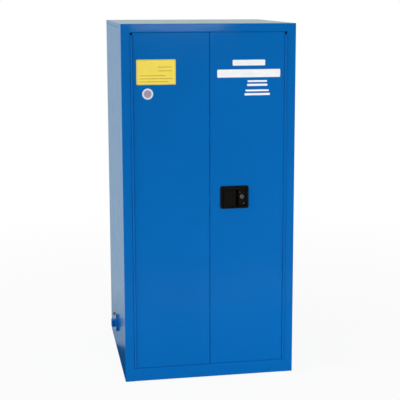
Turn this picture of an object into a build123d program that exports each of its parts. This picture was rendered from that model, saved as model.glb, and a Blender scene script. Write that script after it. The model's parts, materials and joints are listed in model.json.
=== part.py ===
from build123d import *
from math import cos, radians, sin, tan
import os

# A free-standing, double-wall steel cabinet for corrosive liquids, with two inset doors.
# X runs to the right of someone who faces the doors, Y runs from the doors to the back and
# Z runs up from the floor. Lengths are in millimetres.

# Overall size of the carcass
cabinet_width = 793.75
cabinet_depth = 793.75
cabinet_height = 1651.0
base_clearance = 5.0

# Folded sheet steel
sheet = 1.2
bend = 2.4
air_space = 38.1
panel_flange = 20.0
overrun = 5.0

# Front frame round the doors
stile_width = 42.0
header_height = 37.0
sill_height = 66.0
stop_width = 20.0
stop_gap = 1.0
wall_lap = 4.0
sump_depth = 50.8

# Doors
door_thickness = 38.0
door_gap = 1.5
meeting_gap = 4.4
hem_width = 1.2
hem_round = 1.0
liner_flange = 18.0
stiffener_width = 60.0
stiffener_foot = 22.0

# Full-length hinges
barrel_diameter = 9.5
hinge_pin_diameter = 4.75
leaf_thickness = 1.5
leaf_width = 28.0
knuckle_count = 15
knuckle_gap = 0.4
hinge_top_inset = 11.0
hinge_bottom_inset = 2.0
running_fit = 0.05

# Shelves, their uprights and clips, with the number of slots below each shelf's clips
standard_width = 25.0
standard_depth = 11.0
standard_inset = 120.0
standard_foot = 70.0
standard_head = 60.0
slot_pitch = 76.2
slot_width = 5.0
slot_height = 20.0
clip_ledge = 20.0
clip_fit = 0.4
shelf_gap = 4.0
shelf_front_gap = 24.0
shelf_back_gap = 12.0
shelf_height = 26.0
lower_shelf_slot_count = 5
upper_shelf_slot_count = 12

# Polyethylene trays
tray_wall = 3.0
tray_corner = 30.0
tray_round = 8.0
tray_draft = 4.0
tray_rim = 6.0
tray_height = 40.0
tray_margin = 3.0
sump_tray_height = 44.0
sump_tray_margin = 4.0

# Vents through both walls
vent_set_back = 396.0
vent_low = 165.0
vent_drop = 165.0
duct_diameter = 60.3
duct_wall = 2.8
duct_inner_reach = 6.0
duct_fit = 0.1
collar_diameter = 86.0
collar_thickness = 12.0
collar_chamfer = 2.0
plug_depth = 16.0
plug_head = 34.0
plug_head_height = 20.0
plug_head_corner = 3.0
arrester_thickness = 4.0
arrester_hole = 11.0
arrester_ring_radius = 17.0
arrester_ring_count = 6

# Earthing point on the left side
ground_set_back = 585.0
ground_height = 152.0
ground_diameter = 8.0
ground_shank_diameter = 7.6
ground_free_end = 3.0
ground_inner_end = 6.0
ground_nut_size = 13.0
ground_nut_height = 4.0
ground_washer_diameter = 18.0
ground_washer_thickness = 1.6

# Levelling feet
foot_inset = 60.0
foot_diameter = 38.0
foot_chamfer = 1.0
foot_bolt_diameter = 10.0
foot_bolt_height = 26.0
foot_nut_size = 17.0
foot_nut_height = 8.0

# Black latch housing, placed from the meeting edge of the right door and by the level of its pocket
latch_inset = 46.3
latch_level = 857.0
latch_flange = 5.0
latch_corner = 9.0
latch_rim = 1.5
latch_wall = 2.0
pocket_left = 13.0
pocket_right = 9.0
pocket_bottom = 9.0
pocket_top = 17.0
pocket_width = 110.0
pocket_height = 79.0
pocket_corner = 4.0
pocket_depth = 17.0
ledge_width = 35.5
ledge_depth = 3.0
slope_run = 11.0
cutout_clearance = 1.0

# Pull paddle and its tail
paddle_gap = 1.5
paddle_recess = 1.0
paddle_width = 57.0
paddle_plate = 4.0
paddle_corner = 2.0
paddle_bevel = 3.5
paddle_bevel_rise = 1.6
paddle_lip = 9.0
paddle_lip_thickness = 3.0
eye_radius = 6.0
paddle_pin_diameter = 5.0
paddle_swing = 28.0
tail_thickness = 4.0
tail_width = 16.0
nose_radius = 2.5
nose_fit = 0.35
lug_thickness = 3.0
lug_reach = 0.5

# Three-point latch behind the housing
slide_clearance = 1.0
slide_thickness = 2.5
slide_lead = 4.5
slide_length = 64.0
slide_height = 80.0
slide_corner = 4.0
tongue_height = 24.0
tongue_bevel = 2.0
bolt_reach = 1.8
rod_reach = 0.3
keeper_thickness = 3.0
keeper_fit = 1.5
keeper_margin = 10.0
keeper_edge = 1.5
keeper_notch = 0.5
rod_diameter = 8.0
rod_inset = 35.5
rod_clearance = 1.0
rod_pin_diameter = 6.0
rod_pin_offset = 28.0
rod_pin_fit = 0.3
rod_slot_slant = 45.0
rod_tail = 8.0
rod_tip_round = 3.0
rod_hole_fit = 0.5
guide_width = 26.0
guide_foot = 20.0
guide_thickness = 2.5
guide_edge = 0.6
guide_spacing = 300.0
guide_end = 60.0
stud_diameter = 6.0
stud_head = 10.0
stud_head_thickness = 2.0
stud_side_inset = 15.5
stud_side_offset = 26.0
stud_end_inset = 50.5

# Key lock
lock_inset = 101.5
lock_rise = 5.0
lock_face = 19.4
lock_face_thickness = 2.5
lock_body = 15.0
lock_body_end = 16.0
lock_nut_size = 20.0
lock_nut_thickness = 3.5
plug_diameter = 10.0
plug_recess = 0.5
key_slot_width = 1.8
key_slot_height = 7.0
key_slot_depth = 9.0
spindle_diameter = 6.5
cam_width = 11.0
cam_reach = 14.0
cam_thickness = 3.0
cam_screw_diameter = 10.0
cam_screw_thickness = 2.5

# Places worked out from the sizes above
half = sheet / 2
fold = bend - half
fold_lap = 3 * bend
front_y = -(cabinet_depth - latch_flange) / 2
back_y = front_y + cabinet_depth
side_x = cabinet_width / 2
opening_x = side_x - stile_width
opening_top = cabinet_height - header_height
stop_y = front_y + door_thickness + stop_gap
stop_x = opening_x - stop_width
inner_x = opening_x + sheet
inner_back_y = back_y - air_space - 2 * sheet
inner_front_y = stop_y + sheet
floor_z = base_clearance + air_space + 2 * sheet
sill_top = floor_z + sump_depth
ceiling_z = opening_top + sheet
panel_x = side_x - sheet

door_edge_x = opening_x - barrel_diameter
door_low = sill_height + door_gap
door_high = opening_top - door_gap
door_width = door_edge_x - meeting_gap / 2
door_height = door_high - door_low
door_mid_x = meeting_gap / 2 + door_width / 2
door_mid_z = door_low + door_height / 2
door_back_y = front_y + door_thickness
hem_x = meeting_gap / 2 - hem_width

hinge_x = opening_x - barrel_diameter / 2
hinge_low = door_low + hinge_bottom_inset
hinge_high = door_high - hinge_top_inset
knuckle_pitch = (hinge_high - hinge_low) / knuckle_count

standard_face_x = inner_x - standard_depth
standard_low = floor_z + standard_foot
standard_high = ceiling_z - standard_head
standard_front_y = inner_front_y + standard_inset
standard_back_y = inner_back_y - standard_inset
first_slot_z = standard_low + slot_pitch / 2
slot_count = int((standard_high - first_slot_z - slot_height) / slot_pitch) + 1
lower_clip_z = first_slot_z + lower_shelf_slot_count * slot_pitch
upper_clip_z = first_slot_z + upper_shelf_slot_count * slot_pitch
shelf_width = 2 * (standard_face_x - shelf_gap)
shelf_depth = inner_back_y - shelf_back_gap - inner_front_y - shelf_front_gap
shelf_mid_y = inner_front_y + shelf_front_gap + shelf_depth / 2
sump_mid_y = (inner_front_y + inner_back_y) / 2
sump_width = 2 * inner_x
sump_length = inner_back_y - inner_front_y

vent_y = front_y + vent_set_back
vent_high = cabinet_height - vent_drop
duct_radius = duct_diameter / 2
duct_bore = duct_radius - duct_wall
ground_y = front_y + ground_set_back

latch_x = meeting_gap / 2 + latch_inset
latch_width = pocket_left + pocket_width + pocket_right
latch_height = pocket_bottom + pocket_height + pocket_top
latch_mid_x = latch_x + latch_width / 2
latch_low = latch_level - pocket_height / 2 - pocket_bottom
latch_mid_z = latch_low + latch_height / 2
pocket_x = latch_x + pocket_left
pocket_end = pocket_x + pocket_width
pocket_low = latch_low + pocket_bottom
pocket_mid_x = pocket_x + pocket_width / 2
pocket_floor_y = front_y + pocket_depth
ledge_y = front_y + ledge_depth
ledge_x = pocket_end - ledge_width
paddle_x = pocket_x + paddle_gap
paddle_end = paddle_x + paddle_width
paddle_height = pocket_height - 2 * paddle_gap
paddle_face_y = front_y - latch_flange + paddle_recess
pivot_x = paddle_x + eye_radius
pivot_y = paddle_face_y + eye_radius
slide_left = pocket_x - slide_lead
slide_right = slide_left + slide_length
slide_y = pocket_floor_y + latch_wall + slide_clearance
slide_back_y = slide_y + slide_thickness
nose_y = slide_y + slide_thickness / 2
latch_stroke = (nose_y - pivot_y) * sin(radians(paddle_swing))
rod_x = pocket_x + rod_inset
rod_y = slide_back_y + rod_clearance + rod_diameter / 2
keeper_hole = rod_diameter + 2 * keeper_fit
keeper_length = keeper_hole + 4 * keeper_margin
keeper_width = keeper_hole + 2 * keeper_edge
upper_pin_z = latch_level + rod_pin_offset
lower_pin_z = latch_level - rod_pin_offset
stud_places = [
    (pocket_x + stud_side_inset, latch_level + stud_side_offset),
    (pocket_x + stud_side_inset, latch_level - stud_side_offset),
    (pocket_x + stud_end_inset, latch_level),
]
lock_x = latch_x + lock_inset
lock_level = latch_level + lock_rise
spindle_end_y = slide_y + cam_thickness


def upright(y):
    """A plane that faces the doors, at a depth y. A negative extrusion runs to the back."""
    return Plane.XZ.offset(-y)


def folded_sheet(path, plane, start, end):
    """Adds a sheet folded along the middle line of its section to the piece in hand."""
    with BuildSketch(plane.offset(start)) as section:
        with BuildLine():
            FilletPolyline(*path, radius=fold)
        trace(line_width=sheet)
    extrude(section.sketch, amount=end - start)


def save(piece, label):
    piece.part.label = label
    export_step(piece.part, f"parts/{label}.step")


os.makedirs("parts", exist_ok=True)


# Outer side walls: each is one sheet folded into the stile, the jamb and the door stop
def side_panel(side, vent_z, holes):
    corner = [(panel_x + half, back_y), (panel_x + half, front_y + half)]
    stile = corner + [(opening_x, front_y + half)]
    jamb = corner + [
        (opening_x + half, front_y + half),
        (opening_x + half, stop_y + half),
        (stop_x, stop_y + half),
    ]
    with BuildPart() as panel:
        folded_sheet(stile, Plane.XY, base_clearance, sill_height)
        folded_sheet(jamb, Plane.XY, sill_height, opening_top)
        folded_sheet(stile, Plane.XY, opening_top, cabinet_height)
        with BuildSketch(Plane.YZ.offset(side_x + overrun)):
            with Locations((vent_y, vent_z)):
                Circle(duct_radius + duct_fit)
            for y, z, radius in holes:
                with Locations((y, z)):
                    Circle(radius)
        extrude(amount=-(2 * overrun + sheet), mode=Mode.SUBTRACT)
        if side < 0:
            mirror(about=Plane.YZ, mode=Mode.REPLACE)
    return panel


ground_hole = (ground_y, ground_height, ground_diameter / 2 + running_fit)
save(side_panel(-1, vent_low, [ground_hole]), "left_side_panel")
save(side_panel(1, vent_high, []), "right_side_panel")

# Outer back, set between the side walls
with BuildPart() as back_panel:
    edge_x = panel_x - half
    folded_sheet(
        [
            (-edge_x, back_y - panel_flange),
            (-edge_x, back_y - half),
            (edge_x, back_y - half),
            (edge_x, back_y - panel_flange),
        ],
        Plane.XY,
        base_clearance,
        cabinet_height,
    )
save(back_panel, "back_panel")


# Roof and base: a flat sheet with a rear flange, side flanges and a folded rail between the stiles
def closing_panel(face_z, inward, rail_z, lip_z):
    level = face_z + inward * half
    rail = rail_z - inward * half
    flange_z = face_z + inward * panel_flange
    rear_y = back_y - sheet - half
    flat_x = panel_x - bend
    with BuildPart() as panel:
        folded_sheet(
            [(rear_y, flange_z), (rear_y, level), (front_y + sheet, level)],
            Plane.YZ,
            -flat_x,
            flat_x,
        )
        folded_sheet(
            [
                (front_y + fold_lap, level),
                (front_y + half, level),
                (front_y + half, rail),
                (stop_y - fold_lap, rail),
            ],
            Plane.YZ,
            -opening_x,
            opening_x,
        )
        folded_sheet(
            [(stop_y - fold_lap, rail), (stop_y + half, rail), (stop_y + half, lip_z)],
            Plane.YZ,
            -stop_x,
            stop_x,
        )
        for side in (-1, 1):
            edge_x = side * (panel_x - half)
            folded_sheet(
                [(side * (flat_x - fold_lap), level), (edge_x, level), (edge_x, flange_z)],
                Plane.XZ,
                panel_flange - back_y,
                -(front_y + bend),
            )
        with BuildSketch(Plane.XY.offset(rail_z - overrun)):
            with Locations((rod_x, rod_y)):
                Circle(keeper_hole / 2)
        extrude(amount=2 * overrun, mode=Mode.SUBTRACT)
        if inward > 0:
            with BuildSketch(Plane.XY.offset(face_z - overrun)):
                with Locations(*foot_places):
                    Circle(foot_bolt_diameter / 2 + running_fit)
            extrude(amount=2 * overrun, mode=Mode.SUBTRACT)
    return panel


foot_x = side_x - foot_inset
foot_places = [
    (x, y) for x in (-foot_x, foot_x) for y in (front_y + foot_inset, back_y - foot_inset)
]
save(closing_panel(cabinet_height, -1, opening_top, opening_top - stop_width), "roof_panel")
save(closing_panel(base_clearance, 1, sill_height, sill_top), "base_pan")


# Inner walls behind the air space
def inner_wall(side, vent_z):
    low = floor_z - sheet
    high = ceiling_z + sheet
    front = stop_y - wall_lap
    with BuildPart() as wall:
        with BuildSketch(Plane.YZ.offset(inner_x)):
            with Locations(((front + inner_back_y) / 2, (low + high) / 2)):
                Rectangle(inner_back_y - front, high - low)
            with Locations((vent_y, vent_z)):
                Circle(duct_radius + duct_fit, mode=Mode.SUBTRACT)
        extrude(amount=sheet)
        if side < 0:
            mirror(about=Plane.YZ, mode=Mode.REPLACE)
    return wall


save(inner_wall(-1, vent_low), "inner_left_wall")
save(inner_wall(1, vent_high), "inner_right_wall")

with BuildPart() as inner_back_wall:
    wall_low = floor_z - sheet
    wall_high = ceiling_z + sheet
    with BuildSketch(upright(inner_back_y)):
        with Locations((0, (wall_low + wall_high) / 2)):
            Rectangle(2 * (inner_x + sheet), wall_high - wall_low)
    extrude(amount=-sheet)
save(inner_back_wall, "inner_back_wall")

with BuildPart() as inner_ceiling:
    ceiling_front_y = stop_y - wall_lap
    with BuildSketch(Plane.XY.offset(ceiling_z)):
        with Locations((0, (ceiling_front_y + inner_back_y) / 2)):
            Rectangle(2 * inner_x, inner_back_y - ceiling_front_y)
        with Locations((rod_x, rod_y)):
            notch = 2 * keeper_notch
            Rectangle(keeper_length + notch, keeper_width + notch, mode=Mode.SUBTRACT)
    extrude(amount=sheet)
save(inner_ceiling, "inner_ceiling")

# Leak-tight floor with four raised walls
with BuildPart() as sump_pan:
    with BuildSketch(Plane.XY.offset(floor_z - sheet)):
        with Locations((0, sump_mid_y)):
            Rectangle(sump_width, sump_length)
    extrude(amount=sump_depth + sheet)
    fillet(sump_pan.faces().sort_by(Axis.Z)[0].edges(), bend)
    offset(amount=-sheet, openings=sump_pan.faces().sort_by(Axis.Z)[-1])
save(sump_pan, "sump_pan")

# Slotted uprights for the shelves
standard_places = [
    (side, y) for side in (-1, 1) for y in (standard_front_y, standard_back_y)
]
with BuildPart() as shelf_standards:
    for side, y in standard_places:
        face = side * (standard_face_x + half)
        near = y - standard_width / 2 + half
        far = y + standard_width / 2 - half
        wall = side * inner_x
        folded_sheet(
            [(wall, near), (face, near), (face, far), (wall, far)],
            Plane.XY,
            standard_low,
            standard_high,
        )
    slot_rows = [first_slot_z + row * slot_pitch for row in range(slot_count)]
    with BuildSketch(Plane.YZ):
        for y in (standard_front_y, standard_back_y):
            with Locations(*[(y, z) for z in slot_rows]):
                Rectangle(slot_width, slot_height)
    extrude(amount=inner_x, both=True, mode=Mode.SUBTRACT)
save(shelf_standards, "shelf_standards")

# Clips that hook into the slots and carry the shelves
with BuildPart() as shelf_clips:
    tab = slot_width - 2 * clip_fit
    for side, y in standard_places:
        for z in (lower_clip_z, upper_clip_z):
            plate_x = side * (standard_face_x - half)
            folded_sheet(
                [
                    (plate_x, z - slot_height / 2 - bend),
                    (plate_x, z + slot_height / 2 + half),
                    (side * (standard_face_x - clip_ledge), z + slot_height / 2 + half),
                ],
                Plane.XZ,
                -(y + standard_width / 2),
                -(y - standard_width / 2),
            )
            with BuildSketch(Plane.YZ.offset(plate_x)):
                with Locations((y, z)):
                    Rectangle(tab, slot_height - 2 * clip_fit)
            extrude(amount=side * standard_depth / 2)
save(shelf_clips, "shelf_clips")


# Shelves: a sheet with all four edges turned down
def shelf(clip_z):
    seat = clip_z + slot_height / 2 + sheet
    with BuildPart() as board:
        with BuildSketch(Plane.XY.offset(seat)):
            with Locations((0, shelf_mid_y)):
                Rectangle(shelf_width, shelf_depth)
        extrude(amount=shelf_height)
        fillet(board.faces().sort_by(Axis.Z)[-1].edges(), bend)
        offset(amount=-sheet, openings=board.faces().sort_by(Axis.Z)[0])
    return board


save(shelf(lower_clip_z), "lower_shelf")
save(shelf(upper_clip_z), "upper_shelf")


# Polyethylene trays with drafted walls and a turned-out rim
def tray(width, depth, mid_y, seat, height):
    spread = 2 * (height * tan(radians(tray_draft)) + tray_rim)
    with BuildPart() as pan:
        with BuildSketch(Plane.XY.offset(seat)):
            with Locations((0, mid_y)):
                RectangleRounded(width - spread, depth - spread, tray_corner)
        extrude(amount=height, taper=-tray_draft)
        fillet(pan.faces().sort_by(Axis.Z)[0].edges(), tray_round)
        with BuildSketch(Plane.XY.offset(seat + height - tray_wall)):
            with Locations((0, mid_y)):
                RectangleRounded(width, depth, tray_corner + tray_rim)
        extrude(amount=tray_wall)
        with BuildSketch(Plane.XY.offset(seat + tray_wall)):
            with Locations((0, mid_y)):
                inner = spread + 2 * tray_wall
                RectangleRounded(width - inner, depth - inner, tray_corner - tray_wall)
        extrude(amount=height, taper=-tray_draft, mode=Mode.SUBTRACT)
    return pan


def shelf_tray(clip_z):
    seat = clip_z + slot_height / 2 + sheet + shelf_height
    margin = 2 * tray_margin
    return tray(shelf_width - margin, shelf_depth - margin, shelf_mid_y, seat, tray_height)


save(shelf_tray(lower_clip_z), "lower_tray")
save(shelf_tray(upper_clip_z), "upper_tray")
sump_room = 2 * (sheet + sump_tray_margin)
sump_tray = tray(
    sump_width - sump_room, sump_length - sump_room, sump_mid_y, floor_z, sump_tray_height
)
save(sump_tray, "sump_tray")


# Vents: a duct through both walls with an outer collar, a square-headed plug and a flame arrester
def vent_axis(side, vent_z, x):
    return Plane((side * x, vent_y, vent_z), x_dir=(0, 1, 0), z_dir=(side, 0, 0))


def vent_duct(side, vent_z):
    inner_end = inner_x - duct_inner_reach
    outer_end = side_x + collar_thickness
    with BuildPart() as duct:
        with BuildSketch(vent_axis(side, vent_z, side_x)):
            Circle(collar_diameter / 2)
        extrude(amount=collar_thickness)
        rim = duct.faces().sort_by(Axis.X)[-1 if side > 0 else 0]
        chamfer(rim.edges(), collar_chamfer)
        with BuildSketch(vent_axis(side, vent_z, inner_end)):
            Circle(duct_radius)
        extrude(amount=outer_end - inner_end)
        with BuildSketch(vent_axis(side, vent_z, inner_end)):
            Circle(duct_bore)
        extrude(amount=outer_end - inner_end, mode=Mode.SUBTRACT)
    return duct


def vent_plug(side, vent_z):
    outer_end = side_x + collar_thickness
    with BuildPart() as plug:
        with BuildSketch(vent_axis(side, vent_z, outer_end - plug_depth)):
            Circle(duct_bore - running_fit)
        extrude(amount=plug_depth)
        with BuildSketch(vent_axis(side, vent_z, outer_end)):
            RectangleRounded(plug_head, plug_head, plug_head_corner)
        extrude(amount=plug_head_height)
        top = plug.faces().sort_by(Axis.X)[-1 if side > 0 else 0]
        chamfer(top.edges(), collar_chamfer)
    return plug


def flame_arrester(side, vent_z):
    with BuildPart() as disc:
        with BuildSketch(vent_axis(side, vent_z, inner_x)):
            Circle(duct_bore - running_fit)
            Circle(arrester_hole / 2, mode=Mode.SUBTRACT)
            with PolarLocations(arrester_ring_radius, arrester_ring_count):
                Circle(arrester_hole / 2, mode=Mode.SUBTRACT)
        extrude(amount=arrester_thickness)
    return disc


for side, name, vent_z in ((-1, "left", vent_low), (1, "right", vent_high)):
    save(vent_duct(side, vent_z), f"{name}_vent_duct")
    save(vent_plug(side, vent_z), f"{name}_vent_plug")
    save(flame_arrester(side, vent_z), f"{name}_flame_arrester")

# Earthing stud, washer and nut on the left side
washer_end = side_x + ground_washer_thickness
nut_end = washer_end + ground_nut_height


def ground_axis(x):
    return Plane((-x, ground_y, ground_height), x_dir=(0, 1, 0), z_dir=(-1, 0, 0))


with BuildPart() as ground_stud:
    with BuildSketch(ground_axis(panel_x - ground_inner_end)):
        RegularPolygon(ground_nut_size / 2, 6, major_radius=False)
    extrude(amount=ground_inner_end)
    with BuildSketch(ground_axis(panel_x)):
        Circle(ground_shank_diameter / 2)
    extrude(amount=nut_end - panel_x)
    with BuildSketch(ground_axis(nut_end)):
        Circle(ground_diameter / 2)
    extrude(amount=ground_free_end)
save(ground_stud, "ground_stud")

with BuildPart() as ground_washer:
    with BuildSketch(ground_axis(side_x)):
        Circle(ground_washer_diameter / 2)
        Circle(ground_diameter / 2 + running_fit, mode=Mode.SUBTRACT)
    extrude(amount=ground_washer_thickness)
save(ground_washer, "ground_washer")

with BuildPart() as ground_nut:
    with BuildSketch(ground_axis(washer_end)):
        RegularPolygon(ground_nut_size / 2, 6, major_radius=False)
        Circle(ground_diameter / 2 + running_fit, mode=Mode.SUBTRACT)
    extrude(amount=ground_nut_height)
save(ground_nut, "ground_nut")

# Levelling feet and the nuts that hold them in the base
with BuildPart() as levelling_feet:
    with BuildSketch():
        with Locations(*foot_places):
            Circle(foot_diameter / 2)
    extrude(amount=base_clearance)
    chamfer(levelling_feet.faces().group_by(Axis.Z)[0].edges(), foot_chamfer)
    with BuildSketch(Plane.XY.offset(base_clearance)):
        with Locations(*foot_places):
            Circle(foot_bolt_diameter / 2)
    extrude(amount=foot_bolt_height)
save(levelling_feet, "levelling_feet")

with BuildPart() as foot_nuts:
    with BuildSketch(Plane.XY.offset(base_clearance + sheet)):
        with Locations(*foot_places):
            RegularPolygon(foot_nut_size / 2, 6, major_radius=False)
            Circle(foot_bolt_diameter / 2 + running_fit, mode=Mode.SUBTRACT)
    extrude(amount=foot_nut_height)
save(foot_nuts, "foot_nuts")


# Full-length hinges: knuckles of the frame leaf and the door leaf take turns along the pin
def hinge_leaf(side, rows, face_x, toward_door):
    barrel = barrel_diameter / 2
    leaf_start = front_y + barrel + knuckle_gap
    leaf_x = face_x - toward_door * leaf_thickness / 2
    with BuildPart() as leaf:
        with BuildSketch(Plane.XY.offset(hinge_low)):
            with Locations((leaf_x, leaf_start + leaf_width / 2)):
                Rectangle(leaf_thickness, leaf_width)
        extrude(amount=hinge_high - hinge_low)
        for row in rows:
            with BuildSketch(Plane.XY.offset(hinge_low + row * knuckle_pitch)):
                with Locations((hinge_x, front_y)):
                    Circle(barrel)
                with Locations((leaf_x, (front_y + leaf_start) / 2)):
                    Rectangle(leaf_thickness, leaf_start - front_y)
                with Locations((hinge_x, front_y)):
                    Circle(hinge_pin_diameter / 2 + running_fit, mode=Mode.SUBTRACT)
            extrude(amount=knuckle_pitch - knuckle_gap)
        if side < 0:
            mirror(about=Plane.YZ, mode=Mode.REPLACE)
    return leaf


def hinge_pin(side):
    with BuildPart() as pin:
        with BuildSketch(Plane.XY.offset(hinge_low)):
            with Locations((side * hinge_x, front_y)):
                Circle(hinge_pin_diameter / 2)
        extrude(amount=hinge_high - hinge_low - knuckle_gap)
    return pin


frame_rows = range(0, knuckle_count, 2)
door_rows = range(1, knuckle_count, 2)
for side, name in ((-1, "left"), (1, "right")):
    save(hinge_leaf(side, frame_rows, opening_x, 1), f"{name}_hinge_frame_leaf")
    save(hinge_leaf(side, door_rows, door_edge_x, -1), f"{name}_hinge_door_leaf")
    save(hinge_pin(side), f"{name}_hinge_pin")


# Doors: an outer pan with a hemmed meeting edge, an inner pan nested in it and a hat-shaped stiffener
def door_skin(side):
    with BuildPart() as skin:
        with BuildSketch(upright(front_y)):
            with Locations((side * door_mid_x, door_mid_z)):
                Rectangle(door_width, door_height)
        extrude(amount=-door_thickness)
        fillet(skin.faces().sort_by(Axis.Y)[0].edges(), bend)
        offset(amount=-sheet, openings=skin.faces().sort_by(Axis.Y)[-1])
        with BuildSketch(upright(front_y)):
            with Locations((side * (hem_x + (hem_width + bend) / 2), door_mid_z)):
                Rectangle(hem_width + bend, door_height - 2 * bend)
        extrude(amount=-2 * sheet)
        nose = skin.edges().filter_by(Axis.Z).group_by(Axis.X)[0 if side > 0 else -1]
        fillet(nose, hem_round)
        with BuildSketch(Plane.YZ):
            with Locations((slide_y + slide_thickness / 2, latch_level)):
                Rectangle(slide_thickness + 2 * keeper_fit, tongue_height + 2 * keeper_fit)
        extrude(amount=side * (meeting_gap / 2 + sheet + overrun), mode=Mode.SUBTRACT)
        if side > 0:
            with BuildSketch(upright(front_y - overrun)):
                with Locations((pocket_mid_x, latch_level)):
                    rim = 2 * (latch_wall + cutout_clearance)
                    Rectangle(pocket_width + rim, pocket_height + rim)
            extrude(amount=-(2 * overrun), mode=Mode.SUBTRACT)
            with BuildSketch(Plane.XY.offset(door_low - overrun)):
                with Locations((rod_x, rod_y)):
                    Circle(rod_diameter / 2 + rod_hole_fit)
            extrude(amount=door_height + 2 * overrun, mode=Mode.SUBTRACT)
    return skin


def door_liner(side):
    with BuildPart() as liner:
        with BuildSketch(upright(door_back_y)):
            with Locations((side * door_mid_x, door_mid_z)):
                Rectangle(door_width - 2 * sheet, door_height - 2 * sheet)
        extrude(amount=liner_flange)
        fillet(liner.faces().sort_by(Axis.Y)[-1].edges(), bend)
        offset(amount=-sheet, openings=liner.faces().sort_by(Axis.Y)[0])
        if side > 0:
            with BuildSketch(Plane.XY.offset(door_low)):
                with Locations((rod_x, rod_y)):
                    Circle(rod_diameter / 2 + rod_hole_fit)
            extrude(amount=door_height, mode=Mode.SUBTRACT)
        with BuildSketch(Plane.YZ):
            with Locations((slide_y + slide_thickness / 2, latch_level)):
                Rectangle(slide_thickness + 2 * keeper_fit, tongue_height + 2 * keeper_fit)
        extrude(amount=side * (meeting_gap / 2 + 2 * sheet + overrun), mode=Mode.SUBTRACT)
    return liner


def door_stiffener(side):
    crown = front_y + sheet + half
    feet = door_back_y - sheet - half
    middle = door_edge_x - stiffener_foot - stiffener_width
    with BuildPart() as hat:
        web = stiffener_width / 2
        folded_sheet(
            [
                (side * (middle - web - stiffener_foot), feet),
                (side * (middle - web), feet),
                (side * (middle - web), crown),
                (side * (middle + web), crown),
                (side * (middle + web), feet),
                (side * (middle + web + stiffener_foot), feet),
            ],
            Plane.XY,
            door_low + liner_flange,
            door_high - liner_flange,
        )
    return hat


for side, name in ((-1, "left"), (1, "right")):
    save(door_skin(side), f"{name}_door_skin")
    save(door_liner(side), f"{name}_door_liner")
    save(door_stiffener(side), f"{name}_door_stiffener")


# Keepers: plates behind the holes that the three bolts shoot into
def rod_keeper(seat, direction):
    with BuildPart() as keeper:
        with BuildSketch(Plane.XY.offset(seat)):
            with Locations((rod_x, rod_y)):
                Rectangle(keeper_length, keeper_width)
                Circle(keeper_hole / 2, mode=Mode.SUBTRACT)
        extrude(amount=direction * keeper_thickness)
    return keeper


save(rod_keeper(opening_top + sheet, 1), "header_keeper")
save(rod_keeper(sill_height - sheet, -1), "sill_keeper")

with BuildPart() as bolt_keeper:
    with BuildSketch(Plane.YZ.offset(-(meeting_gap / 2 + 2 * sheet))):
        with Locations((slide_y + slide_thickness / 2, latch_level)):
            slot_size = (slide_thickness + 2 * keeper_fit, tongue_height + 2 * keeper_fit)
            Rectangle(slot_size[0] + keeper_margin, slot_size[1] + 2 * keeper_margin)
            Rectangle(*slot_size, mode=Mode.SUBTRACT)
    extrude(amount=-keeper_thickness)
save(bolt_keeper, "bolt_keeper")

# Cast latch housing: a flange on the door, a finger pocket behind the paddle and a ledge for the lock
with BuildPart() as latch_housing:
    with BuildSketch(upright(front_y - latch_flange)):
        with Locations((latch_mid_x, latch_mid_z)):
            RectangleRounded(latch_width, latch_height, latch_corner)
    extrude(amount=-latch_flange)
    fillet(latch_housing.faces().sort_by(Axis.Y)[0].edges(), latch_rim)
    with BuildSketch(Plane.XY.offset(pocket_low - latch_wall)):
        with BuildLine():
            Polyline(
                (pocket_x - latch_wall, front_y),
                (pocket_x - latch_wall, pocket_floor_y + latch_wall),
                (ledge_x - slope_run + latch_wall, pocket_floor_y + latch_wall),
                (ledge_x + latch_wall, ledge_y + latch_wall),
                (pocket_end + latch_wall, ledge_y + latch_wall),
                (pocket_end + latch_wall, front_y),
                close=True,
            )
        make_face()
    extrude(amount=pocket_height + 2 * latch_wall)
    with BuildSketch(upright(front_y - latch_flange)):
        with Locations((pocket_mid_x, latch_level)):
            RectangleRounded(pocket_width, pocket_height, pocket_corner)
    extrude(amount=-(latch_flange + ledge_depth), mode=Mode.SUBTRACT)
    with BuildSketch(Plane.XY.offset(pocket_low)):
        with BuildLine():
            Polyline(
                (pocket_x, ledge_y),
                (pocket_x, pocket_floor_y),
                (ledge_x - slope_run, pocket_floor_y),
                (ledge_x, ledge_y),
                close=True,
            )
        make_face()
    extrude(amount=pocket_height, mode=Mode.SUBTRACT)
    tail_run = (pocket_floor_y + latch_wall - pivot_y) * tan(radians(paddle_swing))
    tail_side = tail_thickness / cos(radians(paddle_swing)) / 2 + slide_clearance
    with BuildSketch(upright(pocket_floor_y - overrun)):
        with Locations((pivot_x + tail_run / 2, latch_level)):
            Rectangle(tail_run + 2 * tail_side, tail_width + 2 * slide_clearance)
    extrude(amount=-(2 * overrun), mode=Mode.SUBTRACT)
    with BuildSketch(Plane.XY.offset(pocket_low - latch_wall)):
        with Locations((pivot_x, pivot_y)):
            Circle(paddle_pin_diameter / 2 + running_fit)
    extrude(amount=pocket_height + 2 * latch_wall, mode=Mode.SUBTRACT)
    with BuildSketch(upright(ledge_y - overrun)):
        with Locations((lock_x, lock_level)):
            Circle(lock_body / 2 + running_fit)
    extrude(amount=-(2 * overrun), mode=Mode.SUBTRACT)
save(latch_housing, "latch_housing")

with BuildPart() as paddle_pin:
    with BuildSketch(Plane.XY.offset(pocket_low - latch_wall)):
        with Locations((pivot_x, pivot_y)):
            Circle(paddle_pin_diameter / 2)
    extrude(amount=pocket_height + 2 * latch_wall)
save(paddle_pin, "paddle_pin")

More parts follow.
